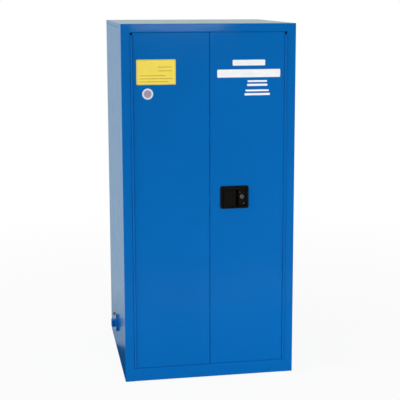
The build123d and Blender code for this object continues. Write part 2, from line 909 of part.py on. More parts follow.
# Pull paddle: a bevelled plate that ends in a round eye, with a finger lip and a tail to the slide
with BuildPart() as paddle:
    with BuildSketch(Plane.XY.offset(pocket_low + paddle_gap)):
        plate_back = paddle_face_y + paddle_plate
        with BuildLine():
            Polyline(
                (pivot_x, paddle_face_y),
                (paddle_end - paddle_bevel, paddle_face_y),
                (paddle_end, paddle_face_y + paddle_bevel_rise),
                (paddle_end, plate_back + paddle_lip),
                (paddle_end - paddle_lip_thickness, plate_back + paddle_lip),
                (paddle_end - paddle_lip_thickness, plate_back),
                (pivot_x, plate_back),
                close=True,
            )
        make_face()
        with Locations((pivot_x, pivot_y)):
            Circle(eye_radius)
    extrude(amount=paddle_height)
    fillet(paddle.edges().filter_by(Axis.Y).group_by(Axis.X)[-1], paddle_corner)
    with BuildSketch(Plane.XY.offset(latch_level - tail_width / 2)):
        with Locations((pivot_x, (pivot_y + nose_y) / 2)):
            Rectangle(tail_thickness, nose_y - pivot_y)
        with Locations((pivot_x, nose_y)):
            Circle(nose_radius)
    extrude(amount=tail_width)
    with BuildSketch(Plane.XY.offset(pocket_low)):
        with Locations((pivot_x, pivot_y)):
            Circle(paddle_pin_diameter / 2 + running_fit)
    extrude(amount=pocket_height, mode=Mode.SUBTRACT)
save(paddle, "paddle")

# Latch slide: the centre bolt, the lugs round the paddle's tail and the slots that drive the rods
with BuildPart() as latch_slide:
    tongue_tip = meeting_gap / 2 - bolt_reach
    with BuildSketch(upright(slide_y)):
        with Locations(((slide_left + slide_right) / 2, latch_level)):
            RectangleRounded(slide_right - slide_left, slide_height, slide_corner)
        with Locations(((tongue_tip + slide_left) / 2, latch_level)):
            Rectangle(slide_left - tongue_tip, tongue_height)
    extrude(amount=-slide_thickness)
    tip_edges = latch_slide.faces().sort_by(Axis.X)[0].edges().filter_by(Axis.Z)
    chamfer(tip_edges.sort_by(Axis.Y)[-1], tongue_bevel)
    room = nose_radius + nose_fit
    with BuildSketch(upright(slide_y)):
        with Locations((pivot_x, latch_level)):
            Rectangle(2 * (room + lug_thickness), tail_width + 2 * slide_clearance)
    extrude(amount=slide_clearance - lug_reach)
    pin_slot = rod_pin_diameter + 2 * rod_pin_fit
    stud_slot = stud_diameter + 2 * rod_pin_fit
    slant_rise = latch_stroke * tan(radians(rod_slot_slant))
    slant_length = latch_stroke / cos(radians(rod_slot_slant))
    with BuildSketch(upright(slide_y - overrun)):
        with Locations((pivot_x, latch_level)):
            Rectangle(2 * room, tail_width + 2 * slide_clearance)
        for pin_z, lean in ((upper_pin_z, 1), (lower_pin_z, -1)):
            with Locations((rod_x - latch_stroke / 2, pin_z - lean * slant_rise / 2)):
                SlotCenterToCenter(slant_length, pin_slot, rotation=lean * rod_slot_slant)
        for x, z in stud_places:
            with Locations((x - latch_stroke / 2, z)):
                SlotCenterToCenter(latch_stroke, stud_slot)
    extrude(amount=-(2 * overrun), mode=Mode.SUBTRACT)
save(latch_slide, "latch_slide")

# Shoulder studs that carry the slide on the back of the housing
with BuildPart() as slide_studs:
    with BuildSketch(upright(pocket_floor_y + latch_wall)):
        with Locations(*stud_places):
            Circle(stud_diameter / 2)
    extrude(amount=-(slide_clearance + slide_thickness + rod_pin_fit))
    with BuildSketch(upright(slide_back_y + rod_pin_fit)):
        with Locations(*stud_places):
            Circle(stud_head / 2)
    extrude(amount=-stud_head_thickness)
save(slide_studs, "slide_studs")


# Latch rods: each has a cross pin in a slanted slot and a rounded tip at the door's edge
def latch_rod(pin_z, tip_z, outward):
    start = pin_z - outward * rod_tail
    with BuildPart() as rod:
        with BuildSketch(Plane.XY.offset(start)):
            with Locations((rod_x, rod_y)):
                Circle(rod_diameter / 2)
        extrude(amount=tip_z - start)
        tip = rod.faces().sort_by(Axis.Z)[-1 if outward > 0 else 0]
        fillet(tip.edges(), rod_tip_round)
        with BuildSketch(upright(slide_y)):
            with Locations((rod_x, pin_z)):
                Circle(rod_pin_diameter / 2)
        extrude(amount=slide_y - rod_y)
    return rod


save(latch_rod(upper_pin_z, door_high + rod_reach, 1), "upper_rod")
save(latch_rod(lower_pin_z, door_low - rod_reach, -1), "lower_rod")

# Brackets on the door skin that guide the rods
with BuildPart() as rod_guides:
    guide_levels = [
        door_high - guide_end,
        upper_pin_z + guide_spacing,
        lower_pin_z - guide_spacing,
        door_low + guide_end,
    ]
    skin_y = front_y + sheet
    web_end = door_back_y - sheet - guide_edge
    for level in guide_levels:
        with BuildSketch(Plane.XY.offset(level)):
            with Locations((rod_x, (skin_y + web_end) / 2)):
                Rectangle(guide_width, web_end - skin_y)
            with Locations((rod_x, rod_y)):
                Circle(rod_diameter / 2 + rod_pin_fit, mode=Mode.SUBTRACT)
        extrude(amount=guide_thickness)
        with BuildSketch(upright(skin_y)):
            with Locations((rod_x, level + guide_foot / 2)):
                Rectangle(guide_width, guide_foot)
        extrude(amount=-guide_thickness)
save(rod_guides, "rod_guides")


# Key lock: a barrel clamped to the ledge, and the plug, cam and screw that turn in it
def lock_disc(y):
    return Plane((lock_x, y, lock_level), x_dir=(1, 0, 0), z_dir=(0, 1, 0))


plug_radius = plug_diameter / 2
lock_end_y = front_y + lock_body_end
with BuildPart() as lock_barrel:
    with BuildSketch(lock_disc(ledge_y - lock_face_thickness)):
        Circle(lock_face / 2)
    extrude(amount=lock_face_thickness)
    fillet(lock_barrel.faces().sort_by(Axis.Y)[0].edges(), lock_face_thickness / 3)
    with BuildSketch(lock_disc(ledge_y)):
        Circle(lock_body / 2)
    extrude(amount=lock_end_y - ledge_y)
    with BuildSketch(lock_disc(ledge_y - lock_face_thickness)):
        Circle(plug_radius + running_fit)
    extrude(amount=lock_end_y - ledge_y + lock_face_thickness, mode=Mode.SUBTRACT)
save(lock_barrel, "lock_barrel")

with BuildPart() as lock_nut:
    with BuildSketch(lock_disc(ledge_y + latch_wall)):
        RegularPolygon(lock_nut_size / 2, 6, major_radius=False)
        Circle(lock_body / 2 + running_fit, mode=Mode.SUBTRACT)
    extrude(amount=lock_nut_thickness)
save(lock_nut, "lock_nut")

with BuildPart() as lock_plug:
    plug_face_y = ledge_y - lock_face_thickness + plug_recess
    with BuildSketch(lock_disc(plug_face_y)):
        Circle(plug_radius)
    extrude(amount=lock_end_y - plug_face_y)
    with BuildSketch(lock_disc(plug_face_y)):
        Rectangle(key_slot_width, key_slot_height)
    extrude(amount=key_slot_depth, mode=Mode.SUBTRACT)
    with BuildSketch(lock_disc(lock_end_y)):
        Rectangle(spindle_diameter, spindle_diameter)
    extrude(amount=spindle_end_y - lock_end_y)
save(lock_plug, "lock_plug")

with BuildPart() as lock_cam:
    with BuildSketch(lock_disc(spindle_end_y - cam_thickness)):
        Circle(cam_width / 2)
        with Locations((0, (cam_reach - cam_width / 2) / 2)):
            Rectangle(cam_width, cam_reach - cam_width / 2)
        with Locations((0, cam_reach - cam_width / 2)):
            Circle(cam_width / 2)
        Rectangle(
            spindle_diameter + 2 * running_fit,
            spindle_diameter + 2 * running_fit,
            mode=Mode.SUBTRACT,
        )
    extrude(amount=cam_thickness)
save(lock_cam, "lock_cam")

with BuildPart() as cam_screw:
    with BuildSketch(lock_disc(spindle_end_y)):
        Circle(cam_screw_diameter / 2)
    extrude(amount=cam_screw_thickness)
    chamfer(cam_screw.faces().sort_by(Axis.Y)[-1].edges(), cam_screw_thickness / 3)
save(cam_screw, "cam_screw")

print(f"latch stroke {latch_stroke:.4f} mm over {paddle_swing:.1f} degrees")
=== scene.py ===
import json
from math import pi, radians
from typing import NamedTuple

import bmesh
import bpy
from bpy.props import FloatProperty, FloatVectorProperty, IntProperty, PointerProperty
from mathutils import Matrix, Vector


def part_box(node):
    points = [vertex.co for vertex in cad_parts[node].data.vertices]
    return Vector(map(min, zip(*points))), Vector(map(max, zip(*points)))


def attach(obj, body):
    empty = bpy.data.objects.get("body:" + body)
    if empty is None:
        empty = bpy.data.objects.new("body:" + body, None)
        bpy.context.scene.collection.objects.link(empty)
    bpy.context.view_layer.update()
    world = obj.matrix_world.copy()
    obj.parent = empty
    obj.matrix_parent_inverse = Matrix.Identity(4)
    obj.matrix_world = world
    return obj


bl_info = {
    "name": "Corrosive storage cabinet",
    "version": (1, 0, 0),
    "blender": (4, 5, 0),
    "location": "3D View > Sidebar > Cabinet",
    "description": "Gives a packed steel cabinet its finishes, labels, fasteners and studio",
    "category": "Object",
}

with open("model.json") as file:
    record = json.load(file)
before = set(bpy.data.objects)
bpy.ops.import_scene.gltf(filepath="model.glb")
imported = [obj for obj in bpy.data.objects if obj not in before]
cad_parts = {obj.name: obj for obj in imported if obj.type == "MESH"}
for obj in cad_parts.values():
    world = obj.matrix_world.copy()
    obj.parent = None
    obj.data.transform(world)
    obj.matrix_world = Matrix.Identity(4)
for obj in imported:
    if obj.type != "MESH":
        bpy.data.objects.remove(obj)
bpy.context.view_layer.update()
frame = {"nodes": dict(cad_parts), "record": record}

# Places that the frame gives, in metres
door_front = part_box("left_door_skin")[0].y
wall_low, wall_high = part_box("right_side_panel")
roof_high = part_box("roof_panel")[1]
latch_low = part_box("latch_housing")[0]
lock_low, lock_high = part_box("lock_barrel")
lock_middle = (lock_low + lock_high) / 2

# The range that holds most of a noise pattern's values
CLOUD_LOW = 0.3
CLOUD_HIGH = 0.7
# How finely a noise pattern is broken up
WAVE_DETAIL = 1.0
FINE_DETAIL = 2.0
CLOUD_DETAIL = 3.0
# A level above the roof, from which the header's shading falls
FALL_START = 2.0
# Rounding of a strip's edges, as a share of its height
STRIP_ROUNDING = 0.25
# Most that a printed bar's corners may take of its height
BAR_CORNER = 1 / 3
# Distance at which a weld bead's points merge, as a share of its radius
WELD_MERGE = 0.02
# Every group of values starts with two of Blender's own
BLENDERS_OWN = 2


def length(name, description, default):
    """A length that a user can change."""
    return FloatProperty(name=name, description=description, default=default, unit="LENGTH", precision=5)


def colour(name, description, default):
    """A colour that a user can change."""
    return FloatVectorProperty(
        name=name, description=description, default=default, subtype="COLOR", size=3, min=0.0, max=1.0
    )


def share(name, description, default):
    """A share from none to all that a user can change."""
    return FloatProperty(
        name=name, description=description, default=default, subtype="FACTOR", min=0.0, max=1.0
    )


def place(name, description, default):
    """A point in the cabinet's frame that a user can move."""
    return FloatVectorProperty(
        name=name, description=description, default=default, subtype="TRANSLATION", size=3
    )


def power(name, default):
    """A lamp's power that a user can change."""
    return FloatProperty(name=name, description="Power of the lamp in watts", default=default, min=0.0)


def lamp_size(name, default):
    """A lamp's width and height that a user can change."""
    return FloatVectorProperty(
        name=name, description="Width and height of the lamp", default=default, unit="LENGTH", size=2
    )


def refraction(name, description, default):
    """An index of refraction that a user can change."""
    return FloatProperty(name=name, description=description, default=default, min=1.0)


class CabinetFinishes(bpy.types.PropertyGroup):
    """Colours and grain of the cabinet's finishes"""

    blue: colour("Blue", "Colour of the gloss paint on the steel", (0.0015, 0.124, 0.42))
    blue_gloss: share("Blue roughness", "Roughness of the gloss paint", 0.10)
    hinge_gloss: share("Hinge roughness", "Roughness of the paint on the hinges", 0.55)
    paint_ior: refraction("Paint IOR", "Index of refraction of the gloss paint", 1.4)
    hinge_ior: refraction("Hinge IOR", "Index of refraction of the paint on the hinges", 1.2)
    shade_size: length("Shade size", "Size of the clouds of shade in the paint", 0.4)
    shade_swing: share("Shade swing", "How far the paint's shade varies", 0.03)
    gloss_size: length("Gloss size", "Size of the clouds of gloss in the paint", 0.06)
    gloss_swing: share("Gloss swing", "How far the paint's roughness varies", 0.02)
    peel_size: length("Orange peel", "Size of the paint's fine ripple", 0.0022)
    peel_height: length("Orange peel height", "Height of the paint's fine ripple", 0.000006)
    wave_size: length("Sheet wave", "Size of the slow waves in the sheet", 0.24)
    wave_height: length("Sheet wave height", "Height of the slow waves in the sheet", 0.0002)
    header_lean: FloatProperty(
        name="Header lean", description="How far the header is shaded as if it leant back",
        default=radians(0.45), subtype="ANGLE",
    )
    wall_grain: share("Wall grain", "Roughness that the walls' outer faces add to the paint", 0.10)
    grain_edge: length("Grain edge", "Depth over which the walls' grain fades inwards", 0.0010)
    black: colour("Black", "Colour of the latch", (0.0064, 0.0060, 0.0051))
    tray_white: colour("Tray white", "Colour of the polyethylene trays", (0.80, 0.81, 0.79))
    steel: colour("Steel", "Colour of the zinc plated steel", (0.60, 0.61, 0.63))
    chrome: colour("Chrome", "Colour of the lock's plating", (0.52, 0.52, 0.53))
    brass: colour("Brass", "Colour of the earthing point", (0.60, 0.40, 0.15))
    label_yellow: colour("Label yellow", "Colour of the label's vinyl", (0.93, 0.74, 0.10))
    label_white: colour("Label white", "Colour of the white vinyl", (0.90, 0.91, 0.92))
    label_ink: colour("Label ink", "Colour of the label's rules", (0.34, 0.22, 0.03))
    disc_rim: colour("Disc rim", "Colour of the round label's rim", (0.70, 0.73, 0.80))
    disc_tint: colour("Disc tint", "Colour of the round label's middle", (0.34, 0.30, 0.40))


class CabinetLabels(bpy.types.PropertyGroup):
    """Sizes and places of the blank labels on the doors"""

    thickness: length("Thickness", "Thickness of the vinyl", 0.0003)
    corner: length("Corner", "Radius of a label's corners", 0.004)
    card_left: length("Card left", "Left edge of the yellow label", -0.3296)
    card_low: length("Card low", "Lower edge of the yellow label", 1.3824)
    card_width: length("Card width", "Width of the yellow label", 0.1757)
    card_height: length("Card height", "Height of the yellow label", 0.1116)
    card_margin: length("Card margin", "Distance of the border line from the edge", 0.0024)
    border: length("Border", "Width of the border line", 0.0010)
    rule: length("Rule", "Width of a printed rule", 0.0020)
    ink: length("Ink", "Thickness of a printed rule", 0.0001)
    disc_x: length("Disc place", "Middle of the round label, from the cabinet's middle", -0.2802)
    disc_z: length("Disc level", "Middle of the round label, from the floor", 1.3416)
    disc_diameter: length("Disc diameter", "Diameter of the round label", 0.049)
    disc_rim: length("Disc rim", "Width of the round label's rim", 0.0075)


class CabinetFasteners(bpy.types.PropertyGroup):
    """Sizes of the small fasteners, welds and seams"""

    rivet_diameter: length("Rivet diameter", "Diameter of a rivet's head on the walls", 0.010)
    rivet_height: length("Rivet height", "Height of a rivet's head on the walls", 0.0014)
    rivet_drop: length("Rivet drop", "Distance of the rivets below the roof", 0.017)
    rivet_start: length("Rivet start", "Distance of the first rivet from the front", 0.110)
    rivet_pitch: length("Rivet pitch", "Distance from rivet to rivet", 0.125)
    rivet_count: IntProperty(name="Rivets", description="Rivets in each row", default=6, min=1, max=20)
    latch_rivet: length("Latch rivet", "Diameter of the rivets on the latch", 0.007)
    latch_rivet_height: length("Latch rivet height", "Height of the rivets on the latch", 0.002)
    ledge_depth: length("Ledge depth", "Distance of the latch's ledge behind its front", 0.008)
    lip_width: length("Lip width", "Width of the lip on the paddle's edge", 0.007)
    lip_height: length("Lip height", "Height of the lip on the paddle's edge", 0.0008)
    lip_inset: length("Lip inset", "Distance of the lip's ends from the paddle's ends", 0.004)
    lip_rounding: share("Lip rounding", "Rounding of the lip's edges, as a share of its height", 0.9)
    weld_radius: length("Weld radius", "Radius of the weld bead round a vent", 0.0022)
    seam_width: length("Seam width", "Width of the sealed seam along the roof's edges", 0.003)
    seam_depth: length("Seam depth", "Depth of the sealed seam along the roof's edges", 0.0012)
    seam_drop: length("Seam drop", "Distance of the seam's face below the roof's face", 0.00015)
    door_gap: length("Door gap", "Gap above and below the doors", 0.0015)
    bead_height: length("Bead height", "Height of the beads above and below the doors", 0.0012)
    bead_depth: length("Bead depth", "Depth of the beads above and below the doors", 0.003)
    bead_inset: length("Bead inset", "Distance of the beads behind the doors' front", 0.0002)


class CabinetStage(bpy.types.PropertyGroup):
    """The camera, the lamps and the floor"""

    camera_place: place("Camera", "Place of the camera", (-0.8001, -4.8797, 1.7685))
    camera_yaw: FloatProperty(
        name="Yaw", description="Turn of the camera to the right", default=0.1832, subtype="ANGLE"
    )
    camera_pitch: FloatProperty(
        name="Pitch", description="Tilt of the camera below the horizon", default=0.1675, subtype="ANGLE"
    )
    camera_lens: FloatProperty(
        name="Lens", description="Focal length in millimetres", default=91.42, min=10.0
    )
    camera_frame: FloatProperty(
        name="Frame", description="Width of the camera's frame in millimetres", default=36.0, min=1.0
    )
    camera_shift_x: FloatProperty(
        name="Shift right", description="Sideways shift of the frame", default=-0.0413
    )
    camera_shift_y: FloatProperty(name="Shift up", description="Upward shift of the frame", default=-0.079)
    key_place: place("Key lamp", "Place of the key lamp", (2.45, -3.2, 0.42))
    key_size: lamp_size("Key size", (1.8, 0.75))
    key_power: power("Key", 71.0)
    fill_place: place("Fill lamp", "Place of the fill lamp", (-4.2, -1.2, 2.2))
    fill_size: lamp_size("Fill size", (2.0, 2.4))
    fill_power: power("Fill", 100.0)
    bounce_place: place("Bounce lamp", "Place of the low lamp in front", (-0.1, -1.35, 0.14))
    bounce_size: lamp_size("Bounce size", (1.7, 0.16))
    bounce_power: power("Bounce", 2.0)
    glint_place: place("Glint lamp", "Place of the small lamp for the latch", (-1.5, -3.0, 2.9))
    glint_size: lamp_size("Glint size", (0.2, 0.2))
    glint_power: power("Glint", 3.0)
    strip_place: place("Strip lamp", "Place of the strip lamp", (0.54, -5.0, 1.615))
    strip_size: lamp_size("Strip size", (0.8, 0.07))
    strip_power: power("Strip", 1.3)
    daylight: share("Daylight", "Brightness of the room's own light", 0.45)
    front_dusk: colour("Front dusk", "What gloss reflects from the room's front", (0.02, 0.02, 0.02))
    back_glow: colour("Back glow", "What gloss reflects from the room's back", (0.525, 0.63, 0.60))
    room_dusk: FloatProperty(
        name="Room dusk", description="Direction at which the room's dusk ends, as depth less right",
        default=-0.7, min=-2.0, max=2.0,
    )
    room_glow: FloatProperty(
        name="Room glow", description="Direction at which the room's glow is full, as depth less right",
        default=-0.2, min=-2.0, max=2.0,
    )
    dusk_margin: length("Dusk margin", "How far past the walls the floor's dusk ends", 0.12)
    dusk_fade: length("Dusk fade", "Distance over which the floor's dusk turns to glow", 0.08)
    mirror_near: length("Mirror near", "Distance up to which gloss reflects the floor as lit", 0.3)
    mirror_far: length("Mirror far", "Distance from which gloss reflects the floor as a plain glow", 1.3)
    floor_colour: colour("Floor", "Colour of the floor", (0.82, 0.82, 0.82))
    floor_size: length("Floor size", "Length of the floor's sides", 40.0)
    floor_white: share("Floor white", "How far the floor is white to the camera", 0.92)
    floor_near: length("Floor near", "Distance from which the floor turns all white", 1.0)
    floor_reach: length("Floor reach", "Distance at which the floor is all white", 3.5)


# Finishes


def new_finish(name, base, roughness, metallic=0.0, ior=1.5):
    """A material with its plain values set on the shader, ready for its grain."""
    material = bpy.data.materials.new(name)
    material.use_nodes = True
    shader = shader_of(material)
    shader.inputs["Base Color"].default_value = (*base, 1.0)
    shader.inputs["Roughness"].default_value = roughness
    shader.inputs["Metallic"].default_value = metallic
    shader.inputs["IOR"].default_value = ior
    return material


def shader_of(material):
    return material.node_tree.nodes["Principled BSDF"]


def add_node(tree, kind, **values):
    """Adds a node, with its inputs set by name."""
    node = tree.nodes.new(kind)
    for name, value in values.items():
        node.inputs[name.replace("_", " ")].default_value = value
    return node


def math_node(tree, operation, first, second):
    """Joins two values, each a socket or a number."""
    node = tree.nodes.new("ShaderNodeMath")
    node.operation = operation
    for socket, value in zip(node.inputs, (first, second)):
        if isinstance(value, bpy.types.NodeSocket):
            tree.links.new(value, socket)
        else:
            socket.default_value = value
    return node.outputs["Value"]


def spread(tree, source, start, stop, low, high):
    """Spreads a value from one range to another, and stops at its ends."""
    node = add_node(tree, "ShaderNodeMapRange", From_Min=start, From_Max=stop, To_Min=low, To_Max=high)
    tree.links.new(source, node.inputs["Value"])
    return node.outputs["Result"]


def mix_shaders(tree, weight, first, second):
    """Blends two shaders by a weight."""
    node = tree.nodes.new("ShaderNodeMixShader")
    tree.links.new(weight, node.inputs["Fac"])
    tree.links.new(first, node.inputs[1])
    tree.links.new(second, node.inputs[2])
    return node.outputs["Shader"]


def axis_value(tree, coordinates, axis):
    """One axis of the texture coordinates."""
    source = tree.nodes.new("ShaderNodeTexCoord")
    split = tree.nodes.new("ShaderNodeSeparateXYZ")
    tree.links.new(source.outputs[coordinates], split.inputs["Vector"])
    return split.outputs[axis]


def backwardness(tree, coordinates):
    """How far a place or a direction lies to the back and the left."""
    depth = axis_value(tree, coordinates, "Y")
    right = axis_value(tree, coordinates, "X")
    return math_node(tree, "SUBTRACT", depth, right)


def seen_directly(tree, path):
    """Whether a ray comes from the camera, straight or through something clear."""
    return math_node(tree, "MAXIMUM", path.outputs["Is Camera Ray"], path.outputs["Is Transmission Ray"])


def mix_colours(tree, weight, first, second):
    """Blends two colours by a weight."""
    node = tree.nodes.new("ShaderNodeMix")
    node.data_type = "RGBA"
    low, high = [socket for socket in node.inputs if socket.type == "RGBA"]
    low.default_value = (*first, 1.0)
    high.default_value = (*second, 1.0)
    tree.links.new(weight, node.inputs["Factor"])
    return next(socket for socket in node.outputs if socket.type == "RGBA")


def noise(tree, size, detail=CLOUD_DETAIL):
    """A cloudy pattern on the object's own coordinates, with spots of about the given size."""
    source = tree.nodes.new("ShaderNodeTexCoord")
    cloud = add_node(tree, "ShaderNodeTexNoise", Scale=1.0 / size, Detail=detail)
    tree.links.new(source.outputs["Object"], cloud.inputs["Vector"])
    return cloud.outputs["Fac"]


def mottle(tree, size, low, high):
    """A cloudy value between two numbers."""
    return spread(tree, noise(tree, size), CLOUD_LOW, CLOUD_HIGH, low, high)


def vary_colour(material, size, first, second):
    """Mixes two colours in clouds into the base colour."""
    tree = material.node_tree
    blended = mix_colours(tree, mottle(tree, size, 0.0, 1.0), first, second)
    tree.links.new(blended, shader_of(material).inputs["Base Color"])


def vary_roughness(material, size, low, high):
    tree = material.node_tree
    tree.links.new(mottle(tree, size, low, high), shader_of(material).inputs["Roughness"])


def raise_bumps(material, *layers):
    """Stacks bump layers, each a pattern and its height in metres."""
    tree = material.node_tree
    under = None
    for pattern, height in layers:
        bump = add_node(tree, "ShaderNodeBump", Strength=1.0, Distance=height)
        tree.links.new(pattern, bump.inputs["Height"])
        if under is not None:
            tree.links.new(under, bump.inputs["Normal"])
        under = bump.outputs["Normal"]
    tree.links.new(under, shader_of(material).inputs["Normal"])


def scaled(base, factor):
    return tuple(min(1.0, c * factor) for c in base)


def gloss_paint(name, roughness, ior):
    """The blue paint with its slight mottle, and its ripples on the waves of the sheet."""
    s = bpy.context.scene.cabinet_finishes
    paint = new_finish(name, s.blue, roughness, ior=ior)
    dark = scaled(s.blue, 1.0 - s.shade_swing)
    pale = scaled(s.blue, 1.0 + s.shade_swing)
    vary_colour(paint, s.shade_size, dark, pale)
    vary_roughness(paint, s.gloss_size, roughness - s.gloss_swing, roughness + s.gloss_swing)
    waves = (noise(paint.node_tree, s.wave_size, WAVE_DETAIL), s.wave_height)
    peel = (noise(paint.node_tree, s.peel_size, FINE_DETAIL), s.peel_height)
    return paint, waves, peel


def blue_paint():
    s = bpy.context.scene.cabinet_finishes
    paint, *layers = gloss_paint("gloss_blue_paint", s.blue_gloss, s.paint_ior)
    raise_bumps(paint, *layers)
    return paint


def roof_paint():
    """The blue paint on the roof's sheet, shaded as if the header leant back a little."""
    s = bpy.context.scene.cabinet_finishes
    paint, *layers = gloss_paint("roof_blue_paint", s.blue_gloss, s.paint_ior)
    tree = paint.node_tree
    fall = spread(tree, axis_value(tree, "Object", "Z"), 0.0, FALL_START, FALL_START, 0.0)
    raise_bumps(paint, (fall, s.header_lean), *layers)
    return paint


def wall_paint():
    """The blue paint on the walls' sheets, which is rougher on their outer faces."""
    s = bpy.context.scene.cabinet_finishes
    paint, *layers = gloss_paint("wall_blue_paint", s.blue_gloss, s.paint_ior)
    tree = paint.node_tree
    roughness = shader_of(paint).inputs["Roughness"]
    polish = roughness.links[0].from_socket
    across = math_node(tree, "ABSOLUTE", axis_value(tree, "Object", "X"), 0.0)
    grain = spread(tree, across, wall_high.x - s.grain_edge, wall_high.x, 0.0, s.wall_grain)
    tree.links.new(math_node(tree, "ADD", polish, grain), roughness)
    raise_bumps(paint, *layers)
    return paint


def hinge_paint():
    """The blue paint on the hinges, which is less glossy on the rolled knuckles."""
    s = bpy.context.scene.cabinet_finishes
    paint, *layers = gloss_paint("hinge_blue_paint", s.hinge_gloss, s.hinge_ior)
    raise_bumps(paint, *layers)
    return paint


class Grain(NamedTuple):
    """How a finish varies, with sizes and heights in metres and shades as shares of its colour."""

    roughness: float
    shade_size: float
    dark: float
    pale: float
    gloss_size: float
    smooth: float
    rough: float
    bump_size: float
    bump_height: float
    bump_detail: float = FINE_DETAIL


CASTING_GRAIN = Grain(
    roughness=0.45, shade_size=0.012, dark=0.8, pale=1.3, gloss_size=0.004, smooth=0.38, rough=0.52,
    bump_size=0.0007, bump_height=0.00003,
)
TRAY_GRAIN = Grain(
    roughness=0.42, shade_size=0.09, dark=0.95, pale=1.0, gloss_size=0.02, smooth=0.36, rough=0.5,
    bump_size=0.0012, bump_height=0.00004,
)
ZINC_GRAIN = Grain(
    roughness=0.34, shade_size=0.015, dark=0.85, pale=1.08, gloss_size=0.006, smooth=0.26, rough=0.44,
    bump_size=0.0015, bump_height=0.00001, bump_detail=CLOUD_DETAIL,
)
CHROME_GRAIN = Grain(
    roughness=0.25, shade_size=0.004, dark=0.94, pale=1.0, gloss_size=0.003, smooth=0.20, rough=0.30,
    bump_size=0.0006, bump_height=0.000004,
)
BRASS_GRAIN = Grain(
    roughness=0.3, shade_size=0.006, dark=0.75, pale=1.0, gloss_size=0.003, smooth=0.22, rough=0.42,
    bump_size=0.0008, bump_height=0.000008,
)
VINYL_GRAIN = Grain(
    roughness=0.3, shade_size=0.03, dark=0.96, pale=1.0, gloss_size=0.01, smooth=0.26, rough=0.36,
    bump_size=0.002, bump_height=0.000008,
)


def grained_finish(name, base, grain, **values):
    """A finish with clouds of shade and gloss, and with fine bumps."""
    material = new_finish(name, base, grain.roughness, **values)
    vary_colour(material, grain.shade_size, scaled(base, grain.dark), scaled(base, grain.pale))
    vary_roughness(material, grain.gloss_size, grain.smooth, grain.rough)
    bumps = noise(material.node_tree, grain.bump_size, grain.bump_detail)
    raise_bumps(material, (bumps, grain.bump_height))
    return material


def latch_black():
    s = bpy.context.scene.cabinet_finishes
    return grained_finish("satin_black_casting", s.black, CASTING_GRAIN, ior=1.2)


def tray_plastic():
    """White polyethylene that lets a little light in."""
    s = bpy.context.scene.cabinet_finishes
    plastic = grained_finish("natural_polyethylene", s.tray_white, TRAY_GRAIN)
    shader = shader_of(plastic)
    shader.inputs["Subsurface Weight"].default_value = 0.12
    shader.inputs["Subsurface Radius"].default_value = (0.006, 0.006, 0.005)
    shader.inputs["Subsurface Scale"].default_value = 1.0
    return plastic


def plain_steel():
    s = bpy.context.scene.cabinet_finishes
    return grained_finish("zinc_plated_steel", s.steel, ZINC_GRAIN, metallic=1.0)


def lock_chrome():
    """Plating that is not all metal, so that it stays grey where it mirrors the room's dark front."""
    s = bpy.context.scene.cabinet_finishes
    return grained_finish("lock_chrome", s.chrome, CHROME_GRAIN, metallic=0.85)


def brass():
    s = bpy.context.scene.cabinet_finishes
    return grained_finish("plain_brass", s.brass, BRASS_GRAIN, metallic=1.0)


def vinyl(name, base):
    """A printed vinyl face with a slight mottle."""
    return grained_finish(name, base, VINYL_GRAIN)


# The nodes whose paint differs from their slot's plain one
OWN_PAINT = {
    "roof_panel": "roof_paint",
    "left_side_panel": "wall_paint",
    "right_side_panel": "wall_paint",
    "left_hinge_frame_leaf": "hinge_paint",
    "right_hinge_frame_leaf": "hinge_paint",
    "left_hinge_door_leaf": "hinge_paint",
    "right_hinge_door_leaf": "hinge_paint",
}
FINISHES = {
    "blue_paint": blue_paint,
    "roof_paint": roof_paint,
    "wall_paint": wall_paint,
    "hinge_paint": hinge_paint,
    "latch_black": latch_black,
    "tray_plastic": tray_plastic,
    "plain_steel": plain_steel,
    "lock_chrome": lock_chrome,
    "brass": brass,
}
made_finishes = {}


def finish(slot):
    """The one material of a slot."""
    if slot not in made_finishes:
        made_finishes[slot] = FINISHES[slot]()
    return made_finishes[slot]


# Shapes


def new_piece(name, shape, body, *materials, slot=None, smooth=False):
    """Makes a shape a finished piece that rides on a body."""
    for face in shape.faces:
        face.smooth = smooth
    mesh = bpy.data.meshes.new(name)
    shape.to_mesh(mesh)
    shape.free()
    for material in materials:
        mesh.materials.append(material)
    piece = bpy.data.objects.new(name, mesh)
    bpy.context.scene.collection.objects.link(piece)
    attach(piece, body)
    return piece


def flat_plate(width, height, corner):
    """A flat face in XY with round corners."""
    plate = bmesh.new()
    bmesh.ops.create_grid(plate, x_segments=1, y_segments=1, size=0.5)
    bmesh.ops.scale(plate, vec=(width, height, 1.0), verts=plate.verts)
    bmesh.ops.bevel(
        plate, geom=plate.verts[:], offset=corner, affect="VERTICES", segments=5, profile=0.5, material=-1
    )
    return plate


def inset_face(shape, face, width):
    """Insets a face and gives the ring of faces round it."""
    shape.normal_update()
    ring = bmesh.ops.inset_region(
        shape, faces=[face], thickness=width, use_even_offset=True, use_boundary=True
    )
    return ring["faces"]


def thicken(shape, thickness):
    """Gives a flat shape its thickness upwards, with a closed back."""
    made = bmesh.ops.extrude_face_region(shape, geom=shape.faces[:], use_keep_orig=True)
    raised = [v for v in made["geom"] if isinstance(v, bmesh.types.BMVert)]
    bmesh.ops.translate(shape, verts=raised, vec=(0.0, 0.0, thickness))
    bmesh.ops.recalc_face_normals(shape, faces=shape.faces[:])


def facing_front(x, y, z):
    """The turn of a shape that lies in XY to face the doors' front, with its middle at a place."""
    return Matrix.Translation((x, y, z)) @ Matrix.Rotation(radians(90), 4, "X")


